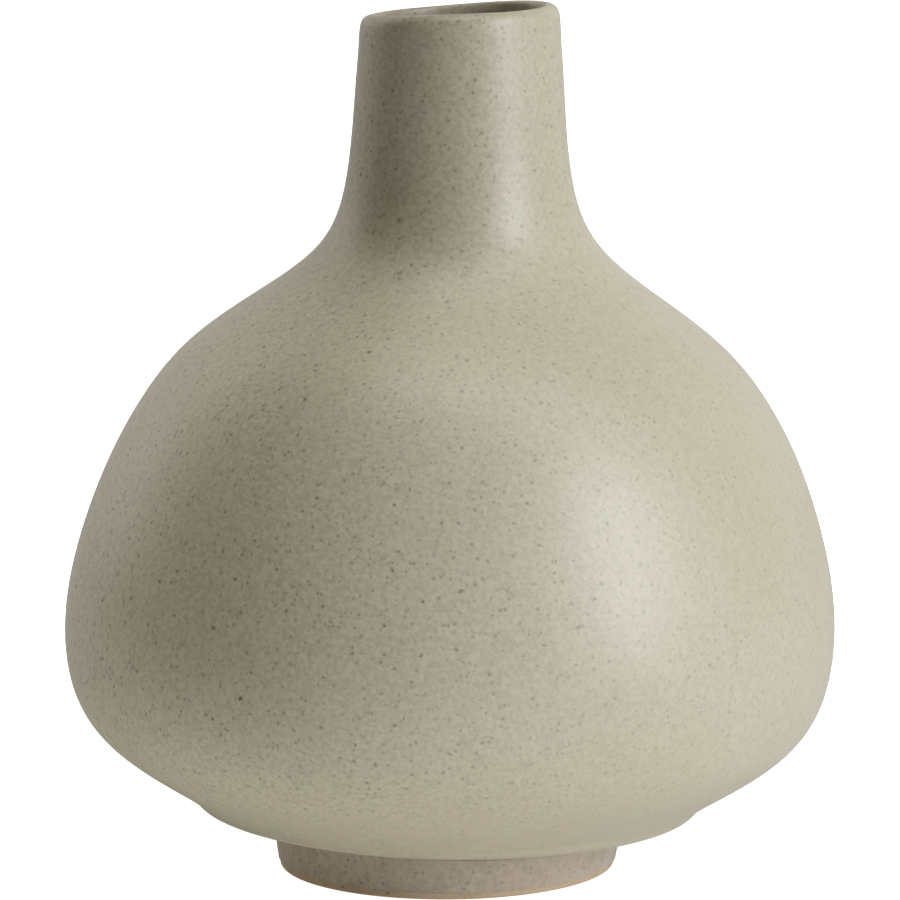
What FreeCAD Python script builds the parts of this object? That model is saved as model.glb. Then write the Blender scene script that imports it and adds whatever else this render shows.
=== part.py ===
import FreeCAD, Part
import os
from math import asin, cos, degrees, hypot, pi, radians, sin

# A stoneware bud vase: a low round bowl on a turned foot, closing to a narrow neck with an oblique
# lip. Millimetres, +Z up, origin at the centre of the foot's resting face. The clay is thrown in
# five pieces luted together, and four glaze coats cover it.
#
# Every round surface is a smooth skin laid over a column of rings. A ring is (radius, height) in the
# upright form, and settle() carries it to where it lies in the fired vase, which leans a little.

# Driving dimensions of the foot.
FOOT_BASE_RADIUS = 30.65
FOOT_TOP_RADIUS = 31.8
FOOT_INNER_RADIUS = 24.6
FOOT_HEIGHT = 7.8
FOOT_ARRIS = 0.6
RECESS_HEIGHT = 5.0
RECESS_COVE = 1.0
BARE_CLAY_HEIGHT = 1.2
RECESS_BARE_HEIGHT = 1.6

# Thickness of the coats.
GLAZE = 0.4
FOOT_GLAZE = 0.25
RECESS_GLAZE = 0.3

# The visible outside, from the edge of the foot up to the neck: dish, ledge, belly, shoulder, neck.
OUTER_RINGS = [
    (32.1, 7.8), (35.8, 8.8), (41.0, 9.7), (45.6, 11.1), (46.0, 11.8), (48.3, 14.2),
    (65.0, 23.6), (70.5, 36.2), (70.3, 52.5), (64.7, 71.5), (58.1, 84.8), (49.2, 96.8),
    (32.3, 107.5), (22.3, 116.2), (19.55, 129.8), (18.85, 144.6), (18.3, 150.5),
]

# The lip turns over its crown in two rolls, an ample one outside and a tight one inside.
LIP_OUTER_ROLL = 1.9
LIP_INNER_ROLL = 0.8
LIP_CROWN_RADIUS = 16.1
LIP_CROWN_HEIGHT = 157.27
LIP_STEP = 45

# The visible inside: the throat down to where the outer glaze stops, then down to the floor.
THROAT_RINGS = [(15.2, 151.5), (15.3, 147.0)]
INNER_RINGS = [
    (15.3, 147.0), (15.4, 142.5), (15.7, 129.8), (18.3, 114.6), (28.9, 104.1), (46.2, 93.6),
    (54.4, 82.6), (60.8, 70.0), (66.3, 52.2), (66.4, 37.0), (61.6, 27.0), (47.6, 18.2),
    (38.0, 13.6), (27.0, 11.0), (20.0, 11.0),
]

# The joints between the thrown pieces: height of the seam outside, radius of the step in the seam,
# and how far the inner half of the wall stands above the outer half.
DISH_SEAM = (14.2, 44.6, 1.2)
BELLY_SEAM = (44.0, 68.0, 3.0)
NECK_SEAM = (116.0, 21.0, 2.0)

# The vase leans: how far the axis has drifted towards +X, and how much the rings tilt down towards
# +X, at heights along it. Between these heights both change evenly.
DRIFT = [(0.0, 0.0), (8.0, 0.1), (18.0, 0.05), (45.0, 0.6), (75.0, 2.0), (160.0, 2.88)]
TILT = [(0.0, 0.0), (7.8, 0.032), (11.8, 0.021), (105.0, 0.021), (120.0, -0.014), (160.0, -0.014)]

# The lip is cut at a slant and a little wavy. These are the rise towards +X, the rise towards +Y
# and the height of the twist, and the slant fades out down the neck.
LIP_RISE_X = 0.7
LIP_RISE_Y = -0.8
LIP_TWIST = 0.16
SLANT_FROM = 140.0
SLANT_FULL = 154.0

# A ring is a closed cubic spline with this many poles.
POLES = 16

# Length of a cubic arc's control arm, as a share of the radius of the quarter round it draws.
QUARTER_ARM = 0.5523

# Size of the tools that part the clay, larger than the vase.
TOOL_RADIUS = 100.0
TOOL_DEPTH = 200.0


def along(points, height):
    """Value at a height, read between the points of a list of (height, value)."""
    if height <= points[0][0]:
        return points[0][1]
    for (low, low_value), (high, high_value) in zip(points, points[1:]):
        if height <= high:
            return low_value + (high_value - low_value) * (height - low) / (high - low)
    return points[-1][1]


def lip_slant(height, angle):
    """How far the slanting cut of the lip moves a point up."""
    share = along([(SLANT_FROM, 0.0), (SLANT_FULL, 1.0)], height)
    rise = LIP_RISE_X * cos(angle) + LIP_RISE_Y * sin(angle) + LIP_TWIST * sin(2.0 * angle)
    return share * rise


def settle(radius, height, angle):
    """Where a point of the upright form lies in the leaning vase."""
    x = radius * cos(angle)
    y = radius * sin(angle)
    z = height - along(TILT, height) * x + lip_slant(height, angle)
    return FreeCAD.Vector(x + along(DRIFT, height), y, z)


def pole_reach(step):
    """How far out the poles of an even cubic spline lie, one step of angle apart, to draw radius 1."""
    return 3.0 / (2.0 + cos(step))


def ring_poles(ring):
    """The poles of one ring's closed spline."""
    radius, height = ring
    step = 2.0 * pi / POLES
    reach = radius * pole_reach(step)
    return [settle(reach, height, step * i) for i in range(POLES)]


def skin(rings, degree=3):
    """A face over a column of rings: smooth with degree 3, and straight between rings with 1."""
    spans = len(rings) - degree
    ring_mults = [degree + 1] + [1] * (spans - 1) + [degree + 1]
    around_mults = [1] * (POLES + 1)
    surface = Part.BSplineSurface()
    surface.buildFromPolesMultsKnots(
        [ring_poles(ring) for ring in rings], ring_mults, around_mults,
        list(range(spans + 1)), list(range(POLES + 1)), False, True, degree, 3)
    return surface.toShape()


def hoop(ring):
    """The closed curve of one ring."""
    curve = Part.BSplineCurve()
    curve.buildFromPolesMultsKnots(
        ring_poles(ring), [1] * (POLES + 1), list(range(POLES + 1)), True, 3)
    return Part.Wire([curve.toShape()])


def disc(ring):
    """The flat face inside one ring."""
    return Part.Face(hoop(ring))


def washer(outer, inner):
    """The flat face between two rings of one height."""
    return Part.Face([hoop(outer), hoop(inner)], "Part::FaceMakerBullseye")


def solid(faces):
    """A solid closed by the faces."""
    shell = Part.Shell(Part.makeCompound(faces).Faces)
    shell.sewShape()
    body = Part.makeSolid(Part.Shell(shell.Faces))
    if body.Volume < 0:
        body.reverse()
    return body


def inset(rings, depth):
    """The rings moved into the clay, square to the outline, by a depth."""
    legs = []
    for (r0, z0), (r1, z1) in zip(rings, rings[1:]):
        length = hypot(r1 - r0, z1 - z0)
        legs.append(((z0 - z1) / length, (r1 - r0) / length))
    moved = []
    for i, (radius, height) in enumerate(rings):
        before = legs[max(i - 1, 0)]
        after = legs[min(i, len(legs) - 1)]
        mitre = 1.0 + before[0] * after[0] + before[1] * after[1]
        across = (before[0] + after[0]) / mitre
        up = (before[1] + after[1]) / mitre
        moved.append((radius + across * depth, height + up * depth))
    return moved


def lip_rings():
    """Rings round the rolled lip, from the outside over the crown to the throat."""
    rings = []
    for turn in range(0, 180 + LIP_STEP, LIP_STEP):
        roll = LIP_OUTER_ROLL if turn <= 90 else LIP_INNER_ROLL
        reach = roll * pole_reach(radians(LIP_STEP))
        angle = radians(turn)
        rings.append((
            LIP_CROWN_RADIUS + reach * cos(angle), LIP_CROWN_HEIGHT - roll + reach * sin(angle)))
    return rings


def quarter_round(start, corner, end):
    """Rings of a smooth quarter round from start to end, tangent to both legs of its corner."""
    rings = [start]
    for point in (start, end):
        rings.append(tuple(a + (b - a) * QUARTER_ARM for a, b in zip(point, corner)))
    rings.append(end)
    return rings


def foot_radius(height):
    """Outer radius of the foot's bare clay, which flares towards the dish."""
    return along([(FOOT_ARRIS, FOOT_BASE_RADIUS), (FOOT_HEIGHT, FOOT_TOP_RADIUS)], height)


def make_foot_ring():
    """The turned foot: a ring with a flaring side and softened edges where it stands."""
    outer_side = [
        (FOOT_BASE_RADIUS, FOOT_ARRIS),
        (foot_radius(BARE_CLAY_HEIGHT), BARE_CLAY_HEIGHT),
        (FOOT_TOP_RADIUS, FOOT_HEIGHT),
        (FOOT_TOP_RADIUS, DISH_UNDERSIDE),
    ]
    inner_side = [
        (FOOT_INNER_RADIUS, DISH_UNDERSIDE),
        (FOOT_INNER_RADIUS, RECESS_HEIGHT),
        (FOOT_INNER_RADIUS, RECESS_BARE_HEIGHT),
        (FOOT_INNER_RADIUS, FOOT_ARRIS),
    ]
    outer_flat = (FOOT_BASE_RADIUS - FOOT_ARRIS, 0.0)
    inner_flat = (FOOT_INNER_RADIUS + FOOT_ARRIS, 0.0)
    return solid([
        washer(outer_flat, inner_flat),
        skin(quarter_round(outer_flat, (FOOT_BASE_RADIUS, 0.0), outer_side[0])),
        skin(outer_side, 1),
        washer(outer_side[-1], inner_side[0]),
        skin(inner_side, 1),
        skin(quarter_round(inner_side[-1], (FOOT_INNER_RADIUS, 0.0), inner_flat)),
    ])


def make_clay():
    """All the clay above the foot in one solid, before the seams part it."""
    boss_top = (FOOT_INNER_RADIUS, DISH_UNDERSIDE)
    boss_end = (FOOT_INNER_RADIUS, RECESS_HEIGHT)
    return solid([
        skin(CLAY_OUTSIDE),
        skin(CLAY_INSIDE),
        disc(CLAY_INSIDE[-1]),
        washer(CLAY_OUTSIDE[0], boss_top),
        skin([boss_top, boss_end], 1),
        disc(boss_end),
    ])


def seam_tool(seam):
    """Everything below a stepped seam, as a solid that leans as the vase does there."""
    height, step_radius, rise = seam
    corners = [
        (0.0, -TOOL_DEPTH), (TOOL_RADIUS, -TOOL_DEPTH), (TOOL_RADIUS, 0.0),
        (step_radius, 0.0), (step_radius, rise), (0.0, rise), (0.0, -TOOL_DEPTH),
    ]
    outline = Part.makePolygon([FreeCAD.Vector(r, 0.0, z) for r, z in corners])
    axis = FreeCAD.Vector(0.0, 0.0, 1.0)
    tool = Part.Face(outline).revolve(FreeCAD.Vector(), axis, 360.0)
    lean = FreeCAD.Rotation(FreeCAD.Vector(0.0, 1.0, 0.0), degrees(asin(along(TILT, height))))
    tool.Placement = FreeCAD.Placement(FreeCAD.Vector(along(DRIFT, height), 0.0, height), lean)
    return tool


def make_clay_pieces():
    """The thrown pieces that are luted on each other at stepped seams, from the dish up."""
    pieces = {}
    rest = make_clay()
    for name, seam in (("base_dish", DISH_SEAM), ("lower_bowl", BELLY_SEAM), ("upper_bowl", NECK_SEAM)):
        tool = seam_tool(seam)
        pieces[name] = rest.common(tool).Solids[0]
        rest = rest.cut(tool).Solids[0]
    pieces["neck"] = rest
    return pieces


def make_outer_glaze():
    """The speckled coat from the edge of the foot up the outside, over the lip and into the throat."""
    return solid([
        skin(OUTSIDE),
        skin(CLAY_OUTSIDE),
        skin([OUTSIDE[0], CLAY_OUTSIDE[0]], 1),
        skin([OUTSIDE[-1], CLAY_OUTSIDE[-1]], 1),
    ])


def make_liner_glaze():
    """The poured coat that seals the inside, from the throat down and across the floor."""
    return solid([
        skin(INNER_RINGS),
        disc(INNER_RINGS[-1]),
        skin(CLAY_INSIDE),
        disc(CLAY_INSIDE[-1]),
        skin([INNER_RINGS[0], CLAY_INSIDE[0]], 1),
    ])


def make_foot_glaze():
    """The thin coat on the side of the foot, which stops short of the resting face."""
    clay = [(foot_radius(height), height) for height in (BARE_CLAY_HEIGHT, FOOT_HEIGHT)]
    surface = [(radius + FOOT_GLAZE, height) for radius, height in clay]
    return solid([
        skin(clay, 1),
        skin(surface, 1),
        washer(surface[0], clay[0]),
        washer(surface[1], clay[1]),
    ])


def make_recess_glaze():
    """The thin coat in the recess under the vase, pooled in a cove round its ceiling."""
    edge = (FOOT_INNER_RADIUS, RECESS_BARE_HEIGHT)
    corner = (FOOT_INNER_RADIUS, RECESS_HEIGHT)
    face_radius = FOOT_INNER_RADIUS - RECESS_GLAZE
    ceiling = RECESS_HEIGHT - RECESS_GLAZE
    cove = quarter_round(
        (face_radius, ceiling - RECESS_COVE), (face_radius, ceiling), (face_radius - RECESS_COVE, ceiling))
    return solid([
        skin([edge, corner], 1),
        disc(corner),
        washer(edge, (face_radius, RECESS_BARE_HEIGHT)),
        skin([(face_radius, RECESS_BARE_HEIGHT), cove[0]], 1),
        skin(cove),
        disc(cove[-1]),
    ])


OUTSIDE = OUTER_RINGS + lip_rings() + THROAT_RINGS
CLAY_OUTSIDE = inset(OUTSIDE, GLAZE)
CLAY_INSIDE = inset(INNER_RINGS, GLAZE)
DISH_UNDERSIDE = CLAY_OUTSIDE[0][1]

nodes = make_clay_pieces()
nodes["foot_ring"] = make_foot_ring()
nodes["outer_glaze"] = make_outer_glaze()
nodes["liner_glaze"] = make_liner_glaze()
nodes["foot_glaze"] = make_foot_glaze()
nodes["recess_glaze"] = make_recess_glaze()

os.makedirs("parts", exist_ok=True)
for name, shape in nodes.items():
    shape.exportStep("parts/" + name + ".step")
    print(name, "valid", shape.isValid(), "volume", round(shape.Volume, 1), "mm3")
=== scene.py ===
from math import cos, pi, radians, sin

import bmesh
import bpy
import numpy as np
from mathutils import Matrix, Vector


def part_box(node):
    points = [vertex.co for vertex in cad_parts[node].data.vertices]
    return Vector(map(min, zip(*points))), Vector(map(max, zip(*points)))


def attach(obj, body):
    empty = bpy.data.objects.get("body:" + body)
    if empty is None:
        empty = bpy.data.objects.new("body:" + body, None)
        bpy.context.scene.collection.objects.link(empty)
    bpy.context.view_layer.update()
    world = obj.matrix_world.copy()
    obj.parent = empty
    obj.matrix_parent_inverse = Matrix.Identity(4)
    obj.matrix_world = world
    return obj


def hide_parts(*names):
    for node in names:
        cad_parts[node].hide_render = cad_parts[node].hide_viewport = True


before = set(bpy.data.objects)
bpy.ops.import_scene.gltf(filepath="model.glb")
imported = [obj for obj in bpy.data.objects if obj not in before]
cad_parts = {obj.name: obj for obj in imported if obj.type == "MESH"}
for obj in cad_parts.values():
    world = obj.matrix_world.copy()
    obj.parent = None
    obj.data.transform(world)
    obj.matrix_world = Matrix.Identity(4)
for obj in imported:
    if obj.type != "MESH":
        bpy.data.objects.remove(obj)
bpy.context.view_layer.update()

# ---------------------------------------------------------------------------------------------
# Foot ring. The real piece is a ring of coarse tan stoneware, turned on the wheel from the same
# clay as the pot and left bare where it stands, with its edges softened by a wet sponge.
# Under it go the helpers that every round piece of the vase is made with.

MM = 0.001
COLUMNS = 256

# Linear colours of the bare clay where it is light and dark, and of an iron grain burnt at its face.
# Below them, how high the grit stands and how deep the pores go, in mm.
TAN_LIGHT = (0.76, 0.60, 0.40)
TAN_DARK = (0.62, 0.46, 0.28)
BURNT_IRON = (0.07, 0.035, 0.02)
GRIT_RELIEF = 0.08
PORE_DEPTH = 0.12

# How far the axis has drifted towards +X in mm, and how steeply the rings tilt down towards +X, at
# heights in mm.
DRIFT = [(0.0, 0.0), (8.0, 0.1), (18.0, 0.05), (45.0, 0.6), (75.0, 2.0), (160.0, 2.88)]
TILT = [
    (0.0, 0.0), (7.8, 0.032), (11.8, 0.021), (105.0, 0.021), (120.0, -0.014), (160.0, -0.014),
]

# The uneven lip: the heights between which it fades in, then how far it rises towards +X and +Y
# and how far its twist lifts it, in mm.
SLANT = [(140.0, 0.0), (154.0, 1.0)]
LIP_RISE_X = 0.7
LIP_RISE_Y = -0.8
LIP_TWIST = 0.16

FOOT_BASE_RADIUS = 30.65
FOOT_TOP_RADIUS = 31.8
FOOT_INNER_RADIUS = 24.6
FOOT_HEIGHT = 7.8
FOOT_TOP = 8.19
FOOT_ARRIS = 0.6

# The arm of a cubic curve that draws a quarter of a circle, as a share of the radius.
QUARTER_ARM = 0.5523

# How finely a skin's length is measured, how far its rows are spaced evenly along that length, and
# the least gap that a division may have.
SAMPLES_PER_RING = 60
EVENNESS = 0.7
TINY = 1e-9

ANGLES = np.linspace(0.0, 2.0 * pi, COLUMNS, endpoint=False)


def along(points, heights):
    """Values at heights, read between the points of a list of (height, value)."""
    return np.interp(heights, *zip(*points))


def spline_weights(count, degree, steps):
    """Weights of a clamped even spline's poles at steps from 0 to 1, by de Boor's recursion."""
    spans = count - degree
    knots = np.concatenate([np.zeros(degree), np.linspace(0.0, 1.0, spans + 1), np.ones(degree)])
    at = np.minimum(steps, 1.0 - TINY)[:, None]
    weights = ((knots[:-1] <= at) & (at < knots[1:])).astype(float)
    for d in range(1, degree + 1):
        gap_left = np.maximum(knots[d:-1] - knots[:-d - 1], TINY)
        gap_right = np.maximum(knots[d + 1:] - knots[1:-d], TINY)
        rise = (at - knots[:-d - 1]) / gap_left * weights[:, :-1]
        fall = (knots[d + 1:] - at) / gap_right * weights[:, 1:]
        weights = rise + fall
    return weights


def rows_over(rings, rows):
    """Rows of points, in mm, on the skin laid over a column of rings, shaped (row, column, xyz)."""
    degree = min(3, len(rings) - 1)
    radii, heights = np.array(rings, float).T
    drifts, tilts, slants = (along(points, heights) for points in (DRIFT, TILT, SLANT))
    traits = np.stack([radii, heights, drifts, tilts * radii, slants], 1)
    fine = np.linspace(0.0, 1.0, SAMPLES_PER_RING * len(rings))
    outline = spline_weights(len(rings), degree, fine) @ traits[:, :2]
    length = np.concatenate([[0.0], np.cumsum(np.linalg.norm(np.diff(outline, axis=0), axis=1))])
    pace = EVENNESS * length / length[-1] + (1.0 - EVENNESS) * fine
    steps = np.interp(np.linspace(0.0, 1.0, rows), pace, fine)
    skin = spline_weights(len(rings), degree, steps) @ traits
    radius, height, drift, tilt, slant = skin.T[..., None]
    wave = LIP_RISE_X * np.cos(ANGLES) + LIP_RISE_Y * np.sin(ANGLES)
    wave += LIP_TWIST * np.sin(2.0 * ANGLES)
    x = radius * np.cos(ANGLES) + drift
    y = radius * np.sin(ANGLES)
    z = height - tilt * np.cos(ANGLES) + slant * wave
    return np.stack([x, y, z], -1)


def quarter_round(start, corner, end):
    """Rings of a smooth quarter round from start to end, tangent to both legs of its corner."""
    rings = [start]
    for point in (start, end):
        rings.append(tuple(a + (b - a) * QUARTER_ARM for a, b in zip(point, corner)))
    rings.append(end)
    return rings


def facing_out(piece):
    """Turns the faces of a closed mesh outwards."""
    shape = bmesh.new()
    shape.from_mesh(piece.data)
    bmesh.ops.recalc_face_normals(shape, faces=shape.faces)
    if shape.calc_volume(signed=True) < 0:
        bmesh.ops.reverse_faces(shape, faces=shape.faces)
    shape.to_mesh(piece.data)
    shape.free()


def turned_mesh(name, rows, capped=False):
    """A closed smooth mesh through rows of points, in a loop or capped at both ends."""
    count = len(rows)
    points = (rows * MM).reshape(-1, 3)
    around = np.arange(COLUMNS)
    onward = (around + 1) % COLUMNS
    faces = []
    for row in range(count - 1 if capped else count):
        here = row * COLUMNS
        there = (row + 1) % count * COLUMNS
        faces.append(np.stack([here + around, here + onward, there + onward, there + around], 1))
    faces = np.concatenate(faces).tolist()
    if capped:
        centres = [points[:COLUMNS].mean(0)[None], points[-COLUMNS:].mean(0)[None]]
        points = np.concatenate([points, *centres])
        first, last = len(points) - 2, len(points) - 1
        top = (count - 1) * COLUMNS
        faces += [[first, int(b), int(a)] for a, b in zip(around, onward)]
        faces += [[last, int(top + a), int(top + b)] for a, b in zip(around, onward)]
    mesh = bpy.data.meshes.new(name)
    mesh.from_pydata(points.tolist(), [], faces)
    mesh.polygons.foreach_set("use_smooth", [True] * len(mesh.polygons))
    mesh.update()
    piece = bpy.data.objects.new(name, mesh)
    bpy.context.scene.collection.objects.link(piece)
    facing_out(piece)
    return piece


def loop_of(*stretches):
    """One closed loop of rows from stretches that share their end rows."""
    return np.concatenate([stretch[:-1] for stretch in stretches])


def node(tree, kind, inputs=None, **settings):
    """Adds a node, sets its options, and links or fills its inputs by name or number."""
    added = tree.nodes.new(kind)
    for key, value in settings.items():
        setattr(added, key, value)
    for key, value in (inputs or {}).items():
        socket = added.inputs[key]
        if isinstance(value, bpy.types.NodeSocket):
            tree.links.new(value, socket)
        else:
            socket.default_value = value
    return added


def new_group(name, inputs, outputs):
    """A shader node group with named number, vector or colour sockets, and its two end nodes."""
    kinds = {"number": "NodeSocketFloat", "vector": "NodeSocketVector", "colour": "NodeSocketColor"}
    group = bpy.data.node_groups.new(name, "ShaderNodeTree")
    for socket, kind in inputs.items():
        group.interface.new_socket(socket, in_out="INPUT", socket_type=kinds[kind])
    for socket, kind in outputs.items():
        group.interface.new_socket(socket, in_out="OUTPUT", socket_type=kinds[kind])
    return group, group.nodes.new("NodeGroupInput").outputs, group.nodes.new("NodeGroupOutput")


def sum_of(tree, operation, a, b):
    """The result of one sum."""
    return node(tree, "ShaderNodeMath", {0: a, 1: b}, operation=operation).outputs[0]


def ramp(tree, value, low, high, to_low=0.0, to_high=1.0):
    """A value eased from one range to another."""
    return node(tree, "ShaderNodeMapRange", {
        "Value": value, "From Min": low, "From Max": high, "To Min": to_low, "To Max": to_high},
        interpolation_type="SMOOTHSTEP").outputs["Result"]


def blend_colours(tree, share, a, b):
    """Colour a turned towards colour b by a share."""
    mix = node(tree, "ShaderNodeMix", {"Factor": share, "A": a, "B": b}, data_type="RGBA")
    return mix.outputs["Result"]


# Iron grains in the clay. Each cell of space holds at most one ragged grain of its own size, and
# what shows is where the surface cuts it, so grains show as specks of many sizes. All in metres.
RAGGED_WAVE = 1.0 / 1800.0
RAGGED_REACH = 0.0008

# The smallest grain against the largest, and the faintest against the darkest.
SMALLEST_GRAIN = 0.35
FAINTEST_GRAIN = 0.3

iron_grains, given, gives = new_group(
    "iron_grains",
    {"Vector": "vector", "Cell": "number", "Grain": "number", "Share": "number", "Fuzz": "number"},
    {"Mask": "number"})
jitter = node(iron_grains, "ShaderNodeTexNoise", {
    "Vector": given["Vector"], "Scale": 1.0 / RAGGED_WAVE, "Detail": 1.0})
jitter = node(iron_grains, "ShaderNodeVectorMath", {
    0: jitter.outputs["Color"], 1: (0.5, 0.5, 0.5)}, operation="SUBTRACT")
jitter = node(iron_grains, "ShaderNodeVectorMath", {
    0: jitter.outputs[0], 1: (RAGGED_REACH,) * 3, 2: given["Vector"]}, operation="MULTIPLY_ADD")
cells = node(iron_grains, "ShaderNodeTexVoronoi", {
    "Vector": jitter.outputs[0], "Scale": sum_of(iron_grains, "DIVIDE", 1.0, given["Cell"])},
    feature="F1")
fate = node(iron_grains, "ShaderNodeSeparateColor", {"Color": cells.outputs["Color"]})
present = sum_of(iron_grains, "LESS_THAN", fate.outputs["Red"], given["Share"])
size = ramp(iron_grains, fate.outputs["Green"], 0.0, 1.0, SMALLEST_GRAIN, 1.0)
widest = sum_of(iron_grains, "DIVIDE", given["Grain"], given["Cell"])
reach = sum_of(iron_grains, "MULTIPLY", size, widest)
core = sum_of(iron_grains, "MULTIPLY", reach, sum_of(iron_grains, "SUBTRACT", 1.0, given["Fuzz"]))
spot = ramp(iron_grains, cells.outputs["Distance"], core, reach, 1.0, 0.0)
strength = ramp(iron_grains, fate.outputs["Blue"], 0.0, 1.0, FAINTEST_GRAIN, 1.0)
spot = sum_of(iron_grains, "MULTIPLY", spot, sum_of(iron_grains, "MULTIPLY", present, strength))
iron_grains.links.new(spot, gives.inputs["Mask"])

# Cloudy variation: the uneven thickness of a coat, or the marbling of the clay.
clouds, given, gives = new_group(
    "clouds", {"Vector": "vector", "Size": "number", "Depth": "number"}, {"Level": "number"})
haze = node(clouds, "ShaderNodeTexNoise", {
    "Vector": given["Vector"], "Scale": sum_of(clouds, "DIVIDE", 1.0, given["Size"]), "Detail": 3.0,
    "Roughness": 0.55})
level = sum_of(clouds, "SUBTRACT", haze.outputs["Fac"], 0.5)
level = sum_of(clouds, "MULTIPLY", level, given["Depth"])
clouds.links.new(sum_of(clouds, "ADD", level, 0.5), gives.inputs["Level"])


def new_material(name):
    """An empty material: its nodes, the place on the object, and its shader."""
    material = bpy.data.materials.new(name)
    material.use_nodes = True
    tree = material.node_tree
    tree.nodes.clear()
    place = node(tree, "ShaderNodeTexCoord").outputs["Object"]
    shader = node(tree, "ShaderNodeBsdfPrincipled")
    node(tree, "ShaderNodeOutputMaterial", {"Surface": shader.outputs["BSDF"]})
    return material, tree, place, shader


def effect(tree, group, output, **inputs):
    """One output of an effect's node group, placed in a material with its own values."""
    return node(tree, "ShaderNodeGroup", inputs, node_tree=group).outputs[output]


def relief(tree, shader, *layers):
    """Stacks bumps, each a (height, millimetres), on a shader."""
    normal = None
    for height, depth in layers:
        inputs = {"Height": height, "Distance": depth * MM}
        if normal:
            inputs["Normal"] = normal
        normal = node(tree, "ShaderNodeBump", inputs).outputs["Normal"]
    tree.links.new(normal, shader.inputs["Normal"])


def clay_material(name, light, dark):
    """Fired clay: marbled, gritty, with iron grains and open pores."""
    material, tree, place, shader = new_material(name)
    marbling = effect(tree, clouds, "Level", Vector=place, Size=0.004, Depth=1.4)
    grains = effect(
        tree, iron_grains, "Mask", Vector=place, Cell=0.0016, Grain=0.0004, Share=0.5, Fuzz=0.5)
    grit = effect(tree, clouds, "Level", Vector=place, Size=0.0004, Depth=1.6)
    pores = effect(
        tree, iron_grains, "Mask", Vector=place, Cell=0.0011, Grain=0.00025, Share=0.4, Fuzz=0.7)
    colour = blend_colours(tree, marbling, (*light, 1.0), (*dark, 1.0))
    colour = blend_colours(tree, sum_of(tree, "MULTIPLY", grains, 0.55), colour, (*BURNT_IRON, 1.0))
    tree.links.new(colour, shader.inputs["Base Color"])
    tree.links.new(ramp(tree, grit, 0.2, 0.8, 0.75, 0.95), shader.inputs["Roughness"])
    relief(tree, shader, (grit, GRIT_RELIEF), (sum_of(tree, "SUBTRACT", 1.0, pores), PORE_DEPTH))
    return material


def foot_radius(height):
    """Outer radius of the foot's bare clay."""
    return float(along([(FOOT_ARRIS, FOOT_BASE_RADIUS), (FOOT_HEIGHT, FOOT_TOP_RADIUS)], height))


outer_flat = (FOOT_BASE_RADIUS - FOOT_ARRIS, 0.0)
inner_flat = (FOOT_INNER_RADIUS + FOOT_ARRIS, 0.0)
outer_side = (FOOT_BASE_RADIUS, FOOT_ARRIS)
inner_side = (FOOT_INNER_RADIUS, FOOT_ARRIS)
foot_ring = turned_mesh("foot_ring_clay", loop_of(
    rows_over([inner_flat, outer_flat], rows=10),
    rows_over(quarter_round(outer_flat, (FOOT_BASE_RADIUS, 0.0), outer_side), rows=8),
    rows_over([outer_side, (FOOT_TOP_RADIUS, FOOT_HEIGHT)], rows=16),
    rows_over([(FOOT_TOP_RADIUS, FOOT_HEIGHT), (FOOT_TOP_RADIUS, FOOT_TOP)], rows=2),
    rows_over([(FOOT_TOP_RADIUS, FOOT_TOP), (FOOT_INNER_RADIUS, FOOT_TOP)], rows=6),
    rows_over([(FOOT_INNER_RADIUS, FOOT_TOP), inner_side], rows=12),
    rows_over(quarter_round(inner_side, (FOOT_INNER_RADIUS, 0.0), inner_flat), rows=8)))
foot_ring.data.materials.append(clay_material("bare_tan_stoneware", TAN_LIGHT, TAN_DARK))
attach(foot_ring, "root")
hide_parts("foot_ring")

# ---------------------------------------------------------------------------------------------
# Glaze on the side of the foot. It is the vase's own glaze, wiped thin with a sponge, so the brown
# clay shows through, and it ends in a soft roll a millimetre above the table.

FOOT_GLAZE = 0.25
BARE_CLAY_HEIGHT = 1.2
FOOT_PALE = (0.74, 0.635, 0.49)
FOOT_DEEP = (0.50, 0.41, 0.30)
FOOT_SPECK = (0.12, 0.08, 0.05)

# Specks of iron, from fine to bold: cell and grain in metres, share of cells that hold one, how
# fuzzy its edge is and how dark it is.
SPECK_SIZES = (
    (0.0009, 0.0003, 0.8, 0.9, 0.24),
    (0.0011, 0.0006, 0.9, 1.0, 0.55),
    (0.0023, 0.00058, 0.5, 0.85, 0.74),
)

# Painted shade: the specks and mottling are drawn darker on the shaded left and fainter on the lit
# right. Places are in metres.
BODY_SIDE = 0.06
SPECKS_SHADED_LEFT = 1.5
SPECKS_LIT_RIGHT = 0.6
MOTTLING = 0.15

# Under the dish the specks fade between these two heights.
UNDERSIDE_LOW = 0.008
UNDERSIDE_HIGH = 0.032

# Painted shade on the neck: above its root the colour darkens towards the speck colour, most on the
# left.
NECK_ROOT = 0.098
NECK_CLEAR = 0.125
NECK_SHADE_FROM = -0.006
NECK_SHADE_TO = 0.022
NECK_SHADE_LEFT = 0.31
NECK_SHADE_RIGHT = 0.03

# How strongly glaze bends light, and the height of its waves, peel and pits in mm.
GLAZE_IOR = 1.6
SWELL_RELIEF = 0.08
PEEL_RELIEF = 0.05
PIT_DEPTH = 0.02


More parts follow.
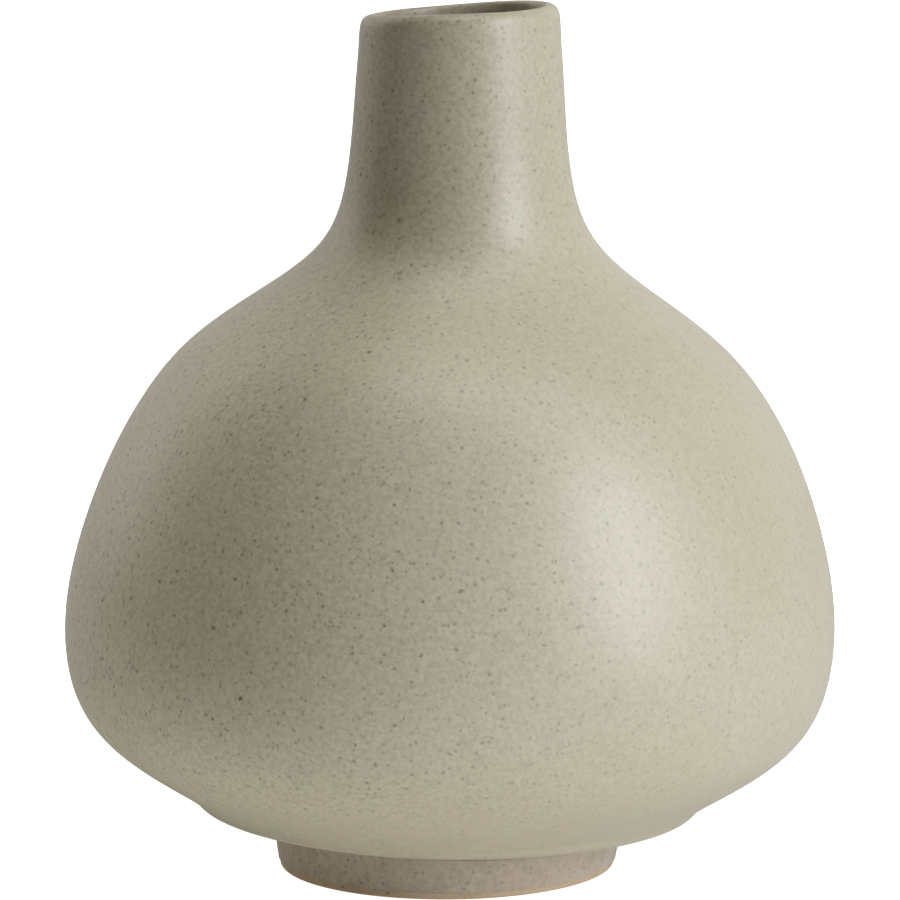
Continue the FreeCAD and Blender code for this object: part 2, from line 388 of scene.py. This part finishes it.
def glaze_material(name, pale, deep, speck, roughness, shine_spread, iron_below=1.0):
    """Satin speckled glaze: cloudy colour, fuzzy iron specks of three sizes, painted shade on the left
    and on the neck, and a fine orange peel.
    """
    material, tree, place, shader = new_material(name)
    speck = (*speck, 1.0)
    drift = effect(tree, clouds, "Level", Vector=place, Size=0.03, Depth=1.2)
    patches = effect(tree, clouds, "Level", Vector=place, Size=0.0028, Depth=2.6)
    coat = sum_of(
        tree, "ADD", sum_of(tree, "MULTIPLY", drift, 0.6), sum_of(tree, "MULTIPLY", patches, 0.4))
    colour = blend_colours(tree, coat, (*deep, 1.0), (*pale, 1.0))
    along_axes = node(tree, "ShaderNodeSeparateXYZ", {"Vector": place}).outputs
    # Painted shade: specks stronger on the shaded left and fainter on the lit right; they also fade
    # under the dish.
    iron_and_shade = sum_of(
        tree, "MULTIPLY", ramp(tree, along_axes["X"], -BODY_SIDE, BODY_SIDE, SPECKS_SHADED_LEFT, SPECKS_LIT_RIGHT),
        ramp(tree, along_axes["Z"], UNDERSIDE_LOW, UNDERSIDE_HIGH, iron_below, 1.0))
    # Painted shade on the neck, darkest on its left.
    neck_shade = sum_of(
        tree, "MULTIPLY", ramp(tree, along_axes["Z"], NECK_ROOT, NECK_CLEAR),
        ramp(tree, along_axes["X"], NECK_SHADE_FROM, NECK_SHADE_TO, NECK_SHADE_LEFT, NECK_SHADE_RIGHT))
    mottle = effect(tree, clouds, "Level", Vector=place, Size=0.001, Depth=3.0)
    mottle = sum_of(tree, "MULTIPLY", ramp(tree, mottle, 0.0, 1.0, MOTTLING, 0.0), iron_and_shade)
    colour = blend_colours(tree, sum_of(tree, "ADD", mottle, neck_shade), colour, speck)
    for cell, grain, share, fuzz, strength in SPECK_SIZES:
        grains = effect(
            tree, iron_grains, "Mask", Vector=place, Cell=cell, Grain=grain, Share=share, Fuzz=fuzz)
        cover = sum_of(tree, "MULTIPLY", sum_of(tree, "MULTIPLY", grains, strength), iron_and_shade)
        colour = blend_colours(tree, cover, colour, speck)
    tree.links.new(colour, shader.inputs["Base Color"])
    shader.inputs["IOR"].default_value = GLAZE_IOR
    peel = effect(tree, clouds, "Level", Vector=place, Size=0.001, Depth=1.2)
    swell = effect(tree, clouds, "Level", Vector=place, Size=0.007, Depth=1.0)
    tree.links.new(
        ramp(tree, peel, 0.2, 0.8, roughness - shine_spread, roughness + shine_spread),
        shader.inputs["Roughness"])
    pits = sum_of(tree, "SUBTRACT", 1.0, grains)
    relief(tree, shader, (swell, SWELL_RELIEF), (peel, PEEL_RELIEF), (pits, PIT_DEPTH))
    return material


clay_line = [(foot_radius(BARE_CLAY_HEIGHT), BARE_CLAY_HEIGHT), (FOOT_TOP_RADIUS, FOOT_HEIGHT)]
face_line = [(radius + FOOT_GLAZE, height) for radius, height in clay_line]
face_line[0] = (face_line[0][0], face_line[0][1] + FOOT_GLAZE)
foot_coat = turned_mesh("foot_side_glaze", loop_of(
    rows_over(clay_line, rows=10),
    rows_over([clay_line[1], face_line[1]], rows=2),
    rows_over(face_line[::-1], rows=24),
    rows_over(quarter_round(
        face_line[0], (face_line[0][0], BARE_CLAY_HEIGHT), clay_line[0]), rows=6)))
foot_coat.data.materials.append(glaze_material(
    "thin_brown_glaze", FOOT_PALE, FOOT_DEEP, FOOT_SPECK, roughness=0.4, shine_spread=0.06))
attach(foot_coat, "root")
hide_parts("foot_glaze")

# ---------------------------------------------------------------------------------------------
# Glaze in the recess under the vase. It was poured in and out again: a thin coat on the ceiling and
# on the inside of the foot, a little deeper in the corner where it pooled.

RECESS_HEIGHT = 5.0
RECESS_COVE = 1.0
RECESS_GLAZE = 0.3
RECESS_BARE_HEIGHT = 1.6
RECESS_PALE = (0.40, 0.35, 0.27)
RECESS_DEEP = (0.30, 0.24, 0.17)
RECESS_SPECK = (0.06, 0.04, 0.025)

# The innermost ring of a surface that closes at the middle.
CENTRE = 0.5

recess_radius = FOOT_INNER_RADIUS - RECESS_GLAZE
ceiling = RECESS_HEIGHT - RECESS_GLAZE
wall_top = (FOOT_INNER_RADIUS, RECESS_HEIGHT)
wall_foot = (FOOT_INNER_RADIUS, RECESS_BARE_HEIGHT)
drip_edge = (recess_radius, RECESS_BARE_HEIGHT + RECESS_GLAZE)
cove_foot = (recess_radius, ceiling - RECESS_COVE)
cove_top = (recess_radius - RECESS_COVE, ceiling)
recess_coat = turned_mesh("recess_glaze_coat", np.concatenate([
    rows_over([(CENTRE, RECESS_HEIGHT), wall_top], rows=12)[:-1],
    rows_over([wall_top, wall_foot], rows=8)[:-1],
    rows_over(quarter_round(wall_foot, (recess_radius, RECESS_BARE_HEIGHT), drip_edge), rows=5)[:-1],
    rows_over([drip_edge, cove_foot], rows=6)[:-1],
    rows_over(quarter_round(cove_foot, (recess_radius, ceiling), cove_top), rows=8)[:-1],
    rows_over([cove_top, (CENTRE, ceiling)], rows=40)]), capped=True)
recess_coat.data.materials.append(glaze_material(
    "recess_brown_glaze", RECESS_PALE, RECESS_DEEP, RECESS_SPECK, roughness=0.45, shine_spread=0.06))
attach(recess_coat, "root")
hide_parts("recess_glaze")

# ---------------------------------------------------------------------------------------------
# The four thrown pieces of the pot: dish, lower bowl, upper bowl and neck, luted on each other with
# slip. They are buff stoneware, and the glaze covers them all over.

BUFF_LIGHT = (0.56, 0.47, 0.36)
BUFF_DARK = (0.46, 0.37, 0.27)

buff_clay = clay_material("buff_stoneware", BUFF_LIGHT, BUFF_DARK)
for thrown in ("base_dish", "lower_bowl", "upper_bowl", "neck"):
    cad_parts[thrown].data.materials.clear()
    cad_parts[thrown].data.materials.append(buff_clay)

# ---------------------------------------------------------------------------------------------
# Liner glaze. It was poured into the pot, swirled and poured out, and it seals the clay from the
# throat down to the floor. It meets the outer coat about ten millimetres below the lip.

GLAZE = 0.4
INNER_RINGS = [
    (15.3, 147.0), (15.4, 142.5), (15.7, 129.8), (18.3, 114.6), (28.9, 104.1), (46.2, 93.6),
    (54.4, 82.6), (60.8, 70.0), (66.3, 52.2), (66.4, 37.0), (61.6, 27.0), (47.6, 18.2),
    (38.0, 13.6), (27.0, 11.0), (20.0, 11.0),
]
LINER_PALE = (0.50, 0.47, 0.38)
LINER_DEEP = (0.42, 0.385, 0.295)
LINER_SPECK = (0.07, 0.055, 0.035)


def inset(rings, depth):
    """The rings moved into the clay, square to the outline, by a depth."""
    rings = np.array(rings, float)
    legs = np.diff(rings, axis=0)
    legs /= np.linalg.norm(legs, axis=1)[:, None]
    square = np.stack([-legs[:, 1], legs[:, 0]], 1)
    before = np.concatenate([square[:1], square])
    after = np.concatenate([square, square[-1:]])
    mitre = 1.0 + (before * after).sum(1, keepdims=True)
    return (rings + depth * (before + after) / mitre).tolist()


liner_back = inset(INNER_RINGS, GLAZE)
floor_edge = INNER_RINGS[-1]
liner = turned_mesh("liner_glaze_coat", np.concatenate([
    rows_over([(CENTRE, floor_edge[1]), floor_edge], rows=16)[:-1],
    rows_over(INNER_RINGS, rows=200)[::-1][:-1],
    rows_over([INNER_RINGS[0], liner_back[0]], rows=2)[:-1],
    rows_over(liner_back, rows=60)[:-1],
    rows_over([liner_back[-1], (CENTRE, liner_back[-1][1])], rows=6)]), capped=True)
liner.data.materials.append(glaze_material(
    "liner_grey_glaze", LINER_PALE, LINER_DEEP, LINER_SPECK, roughness=0.4, shine_spread=0.06))
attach(liner, "root")
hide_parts("liner_glaze")

# ---------------------------------------------------------------------------------------------
# Outer glaze. One satin coat of warm grey covers the dish, the ledge, both bowls and the neck, goes
# over the rolled lip and stops in the throat. Iron from the clay bleeds through it as dark specks.

OUTER_RINGS = [
    (32.1, 7.8), (35.8, 8.8), (41.0, 9.7), (45.6, 11.1), (46.0, 11.8), (48.3, 14.2),
    (65.0, 23.6), (70.5, 36.2), (70.3, 52.5), (64.7, 71.5), (58.1, 84.8), (49.2, 96.8),
    (32.3, 107.5), (22.3, 116.2), (19.55, 129.8), (18.85, 144.6), (18.3, 150.5),
]
LIP_CROWN_RADIUS = 16.1
LIP_CROWN_HEIGHT = 157.27
LIP_OUTER_ROLL = 1.9
LIP_INNER_ROLL = 0.8
THROAT_RINGS = [(15.2, 151.5), (15.3, 147.0)]
OUTER_PALE = (0.612, 0.562, 0.398)
OUTER_DEEP = (0.552, 0.498, 0.34)
OUTER_SPECK = (0.11, 0.08, 0.035)

# Slow swells that the potter's hands left: size in mm, lobes round the pot, twist per mm of height
# and start, then how the swell comes and goes with height, as a pace per mm and a start.
SWELLS = (
    (0.10, 2.0, 0.031, 0.6, 0.043, 0.0),
    (0.06, 3.0, -0.05, 2.1, 0.0, pi / 2.0),
    (0.035, 5.0, 0.09, 4.0, 0.11, 1.0),
)

# Faint turning rings: size in mm, pace per mm of height, and the pace at which they come and go.
RING_SIZE = 0.006
RING_PACE = 1.9
RING_FADE = 0.13

# How far the rings, and their coming and going, wander round the pot, and how far the second lags.
RING_WANDER = 0.5
FADE_WANDER = 0.8
FADE_LAG = 1.0

# The share of the coat's length, at each end, over which the unevenness fades out.
FADE_SHARE = 0.12

# The poles of an even spline lie outside the roll they draw, by this much for steps of 45 degrees.
POLE_REACH = 3.0 / (2.0 + cos(radians(45)))
lip_rings = []
for turn in (0, 45, 90, 135, 180):
    roll = LIP_OUTER_ROLL if turn <= 90 else LIP_INNER_ROLL
    lip_rings.append((
        LIP_CROWN_RADIUS + roll * POLE_REACH * cos(radians(turn)),
        LIP_CROWN_HEIGHT + roll * (POLE_REACH * sin(radians(turn)) - 1.0)))
outside = OUTER_RINGS + lip_rings + THROAT_RINGS
coat_back = inset(outside, GLAZE)
face_rows = rows_over(outside, rows=320)


def thrown_by_hand(rows):
    """The small unevenness of a hand-thrown wall: slow swells and faint turning rings, in mm."""
    height = rows[..., 2]
    turn = ANGLES[None, :]
    uneven = RING_SIZE * np.sin(RING_PACE * height + RING_WANDER * np.sin(turn))
    uneven *= np.sin(RING_FADE * height + FADE_WANDER * np.sin(turn + FADE_LAG))
    for size, lobes, twist, start, pace, delay in SWELLS:
        uneven += size * np.sin(lobes * turn + twist * height + start) * np.sin(pace * height + delay)
    return uneven


across = np.gradient(face_rows, axis=0)
sideways = np.roll(face_rows, -1, 1) - np.roll(face_rows, 1, 1)
normals = np.cross(sideways, across)
normals /= np.linalg.norm(normals, axis=2)[..., None]
progress = np.linspace(0.0, 1.0, len(face_rows))
fade = np.ones(len(face_rows))
for share in (progress, 1.0 - progress):
    fade *= np.sin(np.clip(share / FADE_SHARE, 0.0, 1.0) * pi / 2.0)
face_rows = face_rows + normals * (thrown_by_hand(face_rows) * fade[:, None])[..., None]
outer_coat = turned_mesh("outer_glaze_coat", loop_of(
    face_rows,
    rows_over([outside[-1], coat_back[-1]], rows=2),
    rows_over(coat_back, rows=50)[::-1],
    rows_over([coat_back[0], outside[0]], rows=2)))
outer_coat.data.materials.append(glaze_material(
    "speckled_satin_glaze", OUTER_PALE, OUTER_DEEP, OUTER_SPECK, roughness=0.42, shine_spread=0.03,
    iron_below=0.4))
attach(outer_coat, "root")
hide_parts("outer_glaze")

# ---------------------------------------------------------------------------------------------
# The studio: a white table that runs back to a white wall. The camera sees both of them white, but
# only a faint glow from them falls on the vase. A tall soft light stands on the right with a small
# one above it, and weaker ones hang overhead and stand behind on the left.

TABLE = 3.0
TABLE_GAP = 0.00005
WALL_DEPTH = 1.6
WALL_HEIGHT = 3.0
WHITE = (1.0, 1.0, 1.0, 1.0)
PAPER_WHITE = (0.9, 0.9, 0.9, 1.0)
MATT = 0.9

# The middle of the table's glow in front of the vase, a painted pool of bounce light that lights the
# vase, and where it is full and where it ends.
GLOW_CENTRE = (-0.03, -0.13, 0.0)
GLOW_FULL = 0.03
GLOW_END = 0.18


def flat_sheet(name, corners, glow, glow_near, glow_seen):
    """A flat matt sheet: its glow, the painted pool of bounce light it glows with in front of the
    vase, and the glow the camera sees.
    """
    mesh = bpy.data.meshes.new(name)
    mesh.from_pydata(corners, [], [tuple(range(len(corners)))])
    sheet = bpy.data.objects.new(name, mesh)
    bpy.context.scene.collection.objects.link(sheet)
    material = bpy.data.materials.new(name + "_paint")
    material.use_nodes = True
    tree = material.node_tree
    shader = tree.nodes["Principled BSDF"]
    shader.inputs["Base Color"].default_value = PAPER_WHITE
    shader.inputs["Roughness"].default_value = MATT
    shader.inputs["Emission Color"].default_value = WHITE
    place = node(tree, "ShaderNodeTexCoord").outputs["Object"]
    away = node(tree, "ShaderNodeVectorMath", {0: place, 1: GLOW_CENTRE}, operation="DISTANCE")
    near = node(tree, "ShaderNodeMapRange", {
        "Value": away.outputs["Value"], "From Min": GLOW_FULL, "From Max": GLOW_END,
        "To Min": glow_near, "To Max": glow})
    path = node(tree, "ShaderNodeLightPath")
    seen = node(tree, "ShaderNodeMapRange", {
        "Value": path.outputs["Is Camera Ray"], "To Min": near.outputs["Result"],
        "To Max": glow_seen})
    tree.links.new(seen.outputs["Result"], shader.inputs["Emission Strength"])
    sheet.data.materials.append(material)


# The table lies a hair below the foot, so that no two faces coincide.
table_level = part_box("foot_ring")[0].z - TABLE_GAP
# The table glows in a painted pool of bounce light in front of the vase.
flat_sheet("table_top", [
    (-TABLE, -TABLE, table_level), (TABLE, -TABLE, table_level),
    (TABLE, WALL_DEPTH, table_level), (-TABLE, WALL_DEPTH, table_level),
], glow=0.0, glow_near=0.28, glow_seen=0.95)
flat_sheet("back_wall", [
    (-TABLE, WALL_DEPTH, table_level), (TABLE, WALL_DEPTH, table_level),
    (TABLE, WALL_DEPTH, WALL_HEIGHT), (-TABLE, WALL_DEPTH, WALL_HEIGHT),
], glow=0.4, glow_near=0.4, glow_seen=1.0)

# Soft boxes: a slightly cool key light, neutral and warm fill lights, and the point they all face.
COOL = (0.98, 1.02, 1.17)
NEUTRAL = (1.0, 1.0, 1.0)
WARM = (1.0, 0.97, 0.88)
VASE_MIDDLE = Vector((0.0, 0.0, 0.07))


def soft_light(name, azimuth, elevation, distance, width, height, power, colour):
    """A soft box that faces the vase. Azimuth 0 is in front, and it grows to the right."""
    lamp = bpy.data.lights.new(name, "AREA")
    lamp.shape = "RECTANGLE"
    lamp.size = width
    lamp.size_y = height
    lamp.energy = power
    lamp.color = colour
    light = bpy.data.objects.new(name, lamp)
    turn, lift = radians(azimuth), radians(elevation)
    way = Vector((sin(turn) * cos(lift), -cos(turn) * cos(lift), sin(lift)))
    light.location = VASE_MIDDLE + distance * way
    light.rotation_euler = way.to_track_quat("Z", "Y").to_euler()
    bpy.context.scene.collection.objects.link(light)


soft_light(
    "key_softbox", azimuth=55.5, elevation=22, distance=1.3, width=0.5, height=0.95, power=11.4,
    colour=COOL)
soft_light(
    "high_softbox", azimuth=62, elevation=64, distance=1.1, width=0.5, height=0.5, power=1.9,
    colour=NEUTRAL)
soft_light(
    "overhead_softbox", azimuth=-30, elevation=86, distance=1.3, width=0.6, height=0.6, power=3.4,
    colour=WARM)
soft_light(
    "back_left_softbox", azimuth=-121, elevation=26, distance=1.3, width=0.9, height=1.0, power=3.3,
    colour=WARM)

# Past the edges of the table and the wall the camera sees plain white, which lights nothing.
room = bpy.data.worlds.new("white_room")
room.use_nodes = True
surround = room.node_tree.nodes["Background"]
surround.inputs["Color"].default_value = WHITE
path = node(room.node_tree, "ShaderNodeLightPath")
room.node_tree.links.new(path.outputs["Is Camera Ray"], surround.inputs["Strength"])
bpy.context.scene.world = room
bpy.context.scene.view_settings.view_transform = "Standard"

# ---------------------------------------------------------------------------------------------
# The camera: a long lens that looks a little down on the vase, turned a fraction of a degree. The
# distance, the middle of the view and its width there are in metres, the angles in degrees.

VIEW_DISTANCE = 1.28
VIEW_ELEVATION = 9.87
VIEW_ROLL = 0.21
VIEW_CENTRE = Vector((0.00082, 0.0, 0.07673))
VIEW_WIDTH = 0.1638
SENSOR = 36.0

elevation, roll = radians(VIEW_ELEVATION), radians(VIEW_ROLL)
ahead = Vector((0.0, cos(elevation), -sin(elevation)))
level_right, level_up = Vector((1.0, 0.0, 0.0)), Vector((0.0, sin(elevation), cos(elevation)))
right = level_right * cos(roll) - level_up * sin(roll)
up = level_right * sin(roll) + level_up * cos(roll)
camera = bpy.data.objects.new("camera", bpy.data.cameras.new("camera"))
camera.data.sensor_width = SENSOR
camera.data.lens = SENSOR * VIEW_DISTANCE / VIEW_WIDTH
camera.matrix_world = Matrix.Translation(VIEW_CENTRE - ahead * VIEW_DISTANCE) @ Matrix(
    (right, up, -ahead)).transposed().to_4x4()
bpy.context.scene.collection.objects.link(camera)
bpy.context.scene.camera = camera
